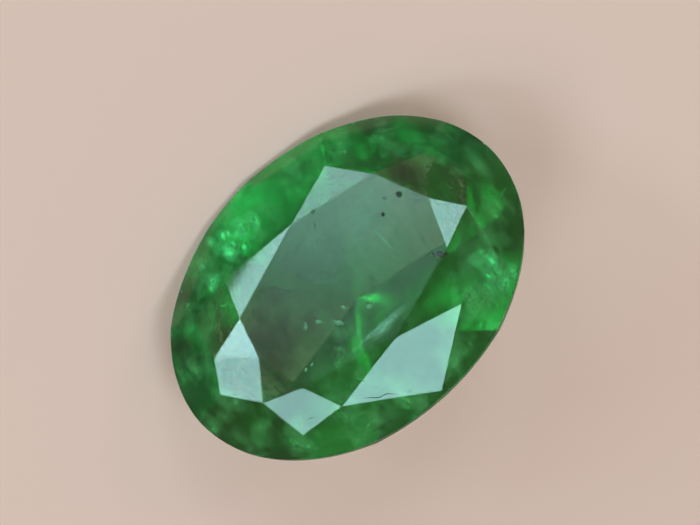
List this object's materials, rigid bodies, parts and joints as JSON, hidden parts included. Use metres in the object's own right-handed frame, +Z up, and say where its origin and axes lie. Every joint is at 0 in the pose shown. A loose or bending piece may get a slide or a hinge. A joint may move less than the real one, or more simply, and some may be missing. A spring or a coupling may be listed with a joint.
{
  "type": "loose oval-cut emerald",
  "caption": "Loose oval-cut emerald: a see-through green faceted gemstone with natural inclusions, lying on a pavilion facet with its table leaning forward.",
  "frame": {"origin": "centre of the bounding box in plan, on the resting facet, at floor level", "axes": "+X along the length of the oval, +Z up from the resting facet, table facing up and towards -Y"},
  "size_m": [0.008, 0.0044, 0.0043],
  "materials": {
    "emerald": "polished"
  },
  "bodies": {
    "root": {"emerald": "emerald"}
  },
  "joints": []
}
